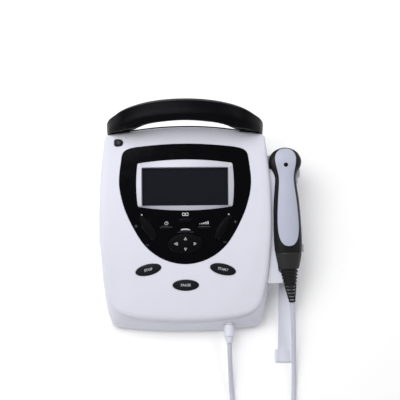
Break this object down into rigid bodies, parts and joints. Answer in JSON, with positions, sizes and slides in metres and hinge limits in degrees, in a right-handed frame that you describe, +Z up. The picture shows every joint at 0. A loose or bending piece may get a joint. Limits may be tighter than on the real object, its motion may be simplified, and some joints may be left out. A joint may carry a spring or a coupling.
{
  "type": "ultrasound therapy device",
  "caption": "Portable ultrasound therapy console with sloping key panel and display, rear carrying handle, side holder, and a hand-held applicator on a lead.",
  "frame": {"origin": "middle of the footprint of console, holder and applicator, on the surface the feet stand on", "axes": "+X to the user's right, where the applicator lies; +Y away from the user, towards the handle; +Z up"},
  "size_m": [0.3074, 0.5413, 0.1616],
  "materials": {
    "shell_white": "satin moulded plastic, very light lavender white",
    "holder_white": "satin moulded plastic, light grey white",
    "handle_black": "satin black moulded plastic",
    "gloss_black": "glossy black film",
    "key_black": "satin black silicone keys",
    "frame_silver": "pale silver painted plastic",
    "window_dark": "dark smoked window",
    "insert_grey": "pale blue grey soft plastic",
    "grip_black": "soft black moulding",
    "collar_grey": "dark grey plastic",
    "head_aluminium": "machined aluminium",
    "steel": "plated steel",
    "lead_white": "pale grey flexible jacket",
    "board_green": "circuit board",
    "rubber_grey": "grey rubber",
    "inner_black": "black moulded plastic",
    "battery_blue": "shrink wrapped cells",
    "crystal_white": "ceramic disc"
  },
  "bodies": {
    "console": {"top_housing": "shell_white", "bottom_housing": "shell_white", "handle_front_shell": "handle_black", "handle_rear_shell": "handle_black", "fascia_panel": "gloss_black", "display_frame": "frame_silver", "display_window": "window_dark", "lcd_module": "inner_black", "key_mat": "rubber_grey", "keyboard_pcb": "board_green", "display_ribbon_cable": "lead_white", "main_pcb": "board_green", "generator_pcb": "board_green", "heat_sink": "head_aluminium", "output_transformer": "inner_black", "buzzer": "inner_black", "battery_pack": "battery_blue", "battery_cover": "shell_white", "dc_inlet": "inner_black", "data_port_connector": "inner_black", "housing_screw_1": "steel", "housing_screw_2": "steel", "housing_screw_3": "steel", "housing_screw_4": "steel", "rubber_foot_1": "rubber_grey", "rubber_foot_2": "rubber_grey", "rubber_foot_3": "rubber_grey", "rubber_foot_4": "rubber_grey", "port_door_pin": "steel", "applicator_socket": "holder_white", "lead_plug": "lead_white", "lead_applicator_run": "lead_white", "lead_plug_run": "lead_white", "lead_coil": "lead_white", "holder_bracket": "holder_white", "holder_arm": "holder_white"},
    "power_key": {"power_key": "key_black"},
    "stop_key": {"stop_key": "key_black"},
    "pause_key": {"pause_key": "key_black"},
    "start_key": {"start_key": "key_black"},
    "library_key": {"library_key": "key_black"},
    "time_key": {"time_key": "key_black"},
    "dose_key": {"dose_key": "key_black"},
    "back_key": {"back_key": "frame_silver"},
    "left_rocker": {"left_rocker": "key_black"},
    "right_rocker": {"right_rocker": "key_black"},
    "nav_gimbal": {"nav_gimbal": "inner_black"},
    "nav_pad": {"nav_pad": "key_black"},
    "port_door": {"port_door": "shell_white"},
    "applicator": {"applicator_grip": "grip_black", "grip_insert": "insert_grey", "indicator_lens": "gloss_black", "sound_head": "head_aluminium", "transducer_crystal": "crystal_white", "applicator_pcb": "board_green", "grip_collar": "collar_grey", "bend_relief": "grip_black"}
  },
  "joints": [
    {"name": "power_key_press", "type": "slide", "parent": "console", "child": "power_key", "axis": [0, 0.2334, -0.9724], "range_m": [0, 0.001], "stiffness_N_per_m": 500, "springref_m": -0.001},
    {"name": "stop_key_press", "type": "slide", "parent": "console", "child": "stop_key", "axis": [0, 0.2334, -0.9724], "range_m": [0, 0.001], "stiffness_N_per_m": 500, "springref_m": -0.001},
    {"name": "pause_key_press", "type": "slide", "parent": "console", "child": "pause_key", "axis": [0, 0.2334, -0.9724], "range_m": [0, 0.001], "stiffness_N_per_m": 500, "springref_m": -0.001},
    {"name": "start_key_press", "type": "slide", "parent": "console", "child": "start_key", "axis": [0, 0.2334, -0.9724], "range_m": [0, 0.001], "stiffness_N_per_m": 500, "springref_m": -0.001},
    {"name": "library_key_press", "type": "slide", "parent": "console", "child": "library_key", "axis": [0, 0.2334, -0.9724], "range_m": [0, 0.001], "stiffness_N_per_m": 500, "springref_m": -0.001},
    {"name": "time_key_press", "type": "slide", "parent": "console", "child": "time_key", "axis": [0, 0.2334, -0.9724], "range_m": [0, 0.001], "stiffness_N_per_m": 500, "springref_m": -0.001},
    {"name": "dose_key_press", "type": "slide", "parent": "console", "child": "dose_key", "axis": [0, 0.2334, -0.9724], "range_m": [0, 0.001], "stiffness_N_per_m": 500, "springref_m": -0.001},
    {"name": "back_key_press", "type": "slide", "parent": "console", "child": "back_key", "axis": [0, 0.2334, -0.9724], "range_m": [0, 0.001], "stiffness_N_per_m": 500, "springref_m": -0.001},
    {"name": "left_rocker_tilt", "type": "hinge", "parent": "console", "child": "left_rocker", "pos_m": [-0.07896, 0.00906, 0.07448], "axis": [0.848, 0.5153, 0.1237], "range_deg": [-3, 3], "stiffness_Nm_per_rad": 0.05},
    {"name": "right_rocker_tilt", "type": "hinge", "parent": "console", "child": "right_rocker", "pos_m": [0.03164, 0.00906, 0.07448], "axis": [0.848, -0.5153, -0.1237], "range_deg": [-3, 3], "stiffness_Nm_per_rad": 0.05},
    {"name": "nav_pad_pitch", "type": "hinge", "parent": "console", "child": "nav_gimbal", "pos_m": [-0.02366, -0.01383, 0.06785], "axis": [1, 0, 0], "range_deg": [-3, 3], "stiffness_Nm_per_rad": 0.08},
    {"name": "nav_pad_roll", "type": "hinge", "parent": "nav_gimbal", "child": "nav_pad", "pos_m": [-0.02366, -0.01383, 0.06785], "axis": [0, 0.9724, 0.2334], "range_deg": [-3, 3], "stiffness_Nm_per_rad": 0.08},
    {"name": "port_door_swing", "type": "hinge", "parent": "console", "child": "port_door", "pos_m": [-0.15026, 0.01855, 0.0276], "axis": [0, -1, 0], "range_deg": [0, 100]},
    {"name": "applicator_lift", "type": "slide", "parent": "console", "child": "applicator", "axis": [0, -0.2334, 0.9724], "range_m": [0, 0.06]}
  ]
}
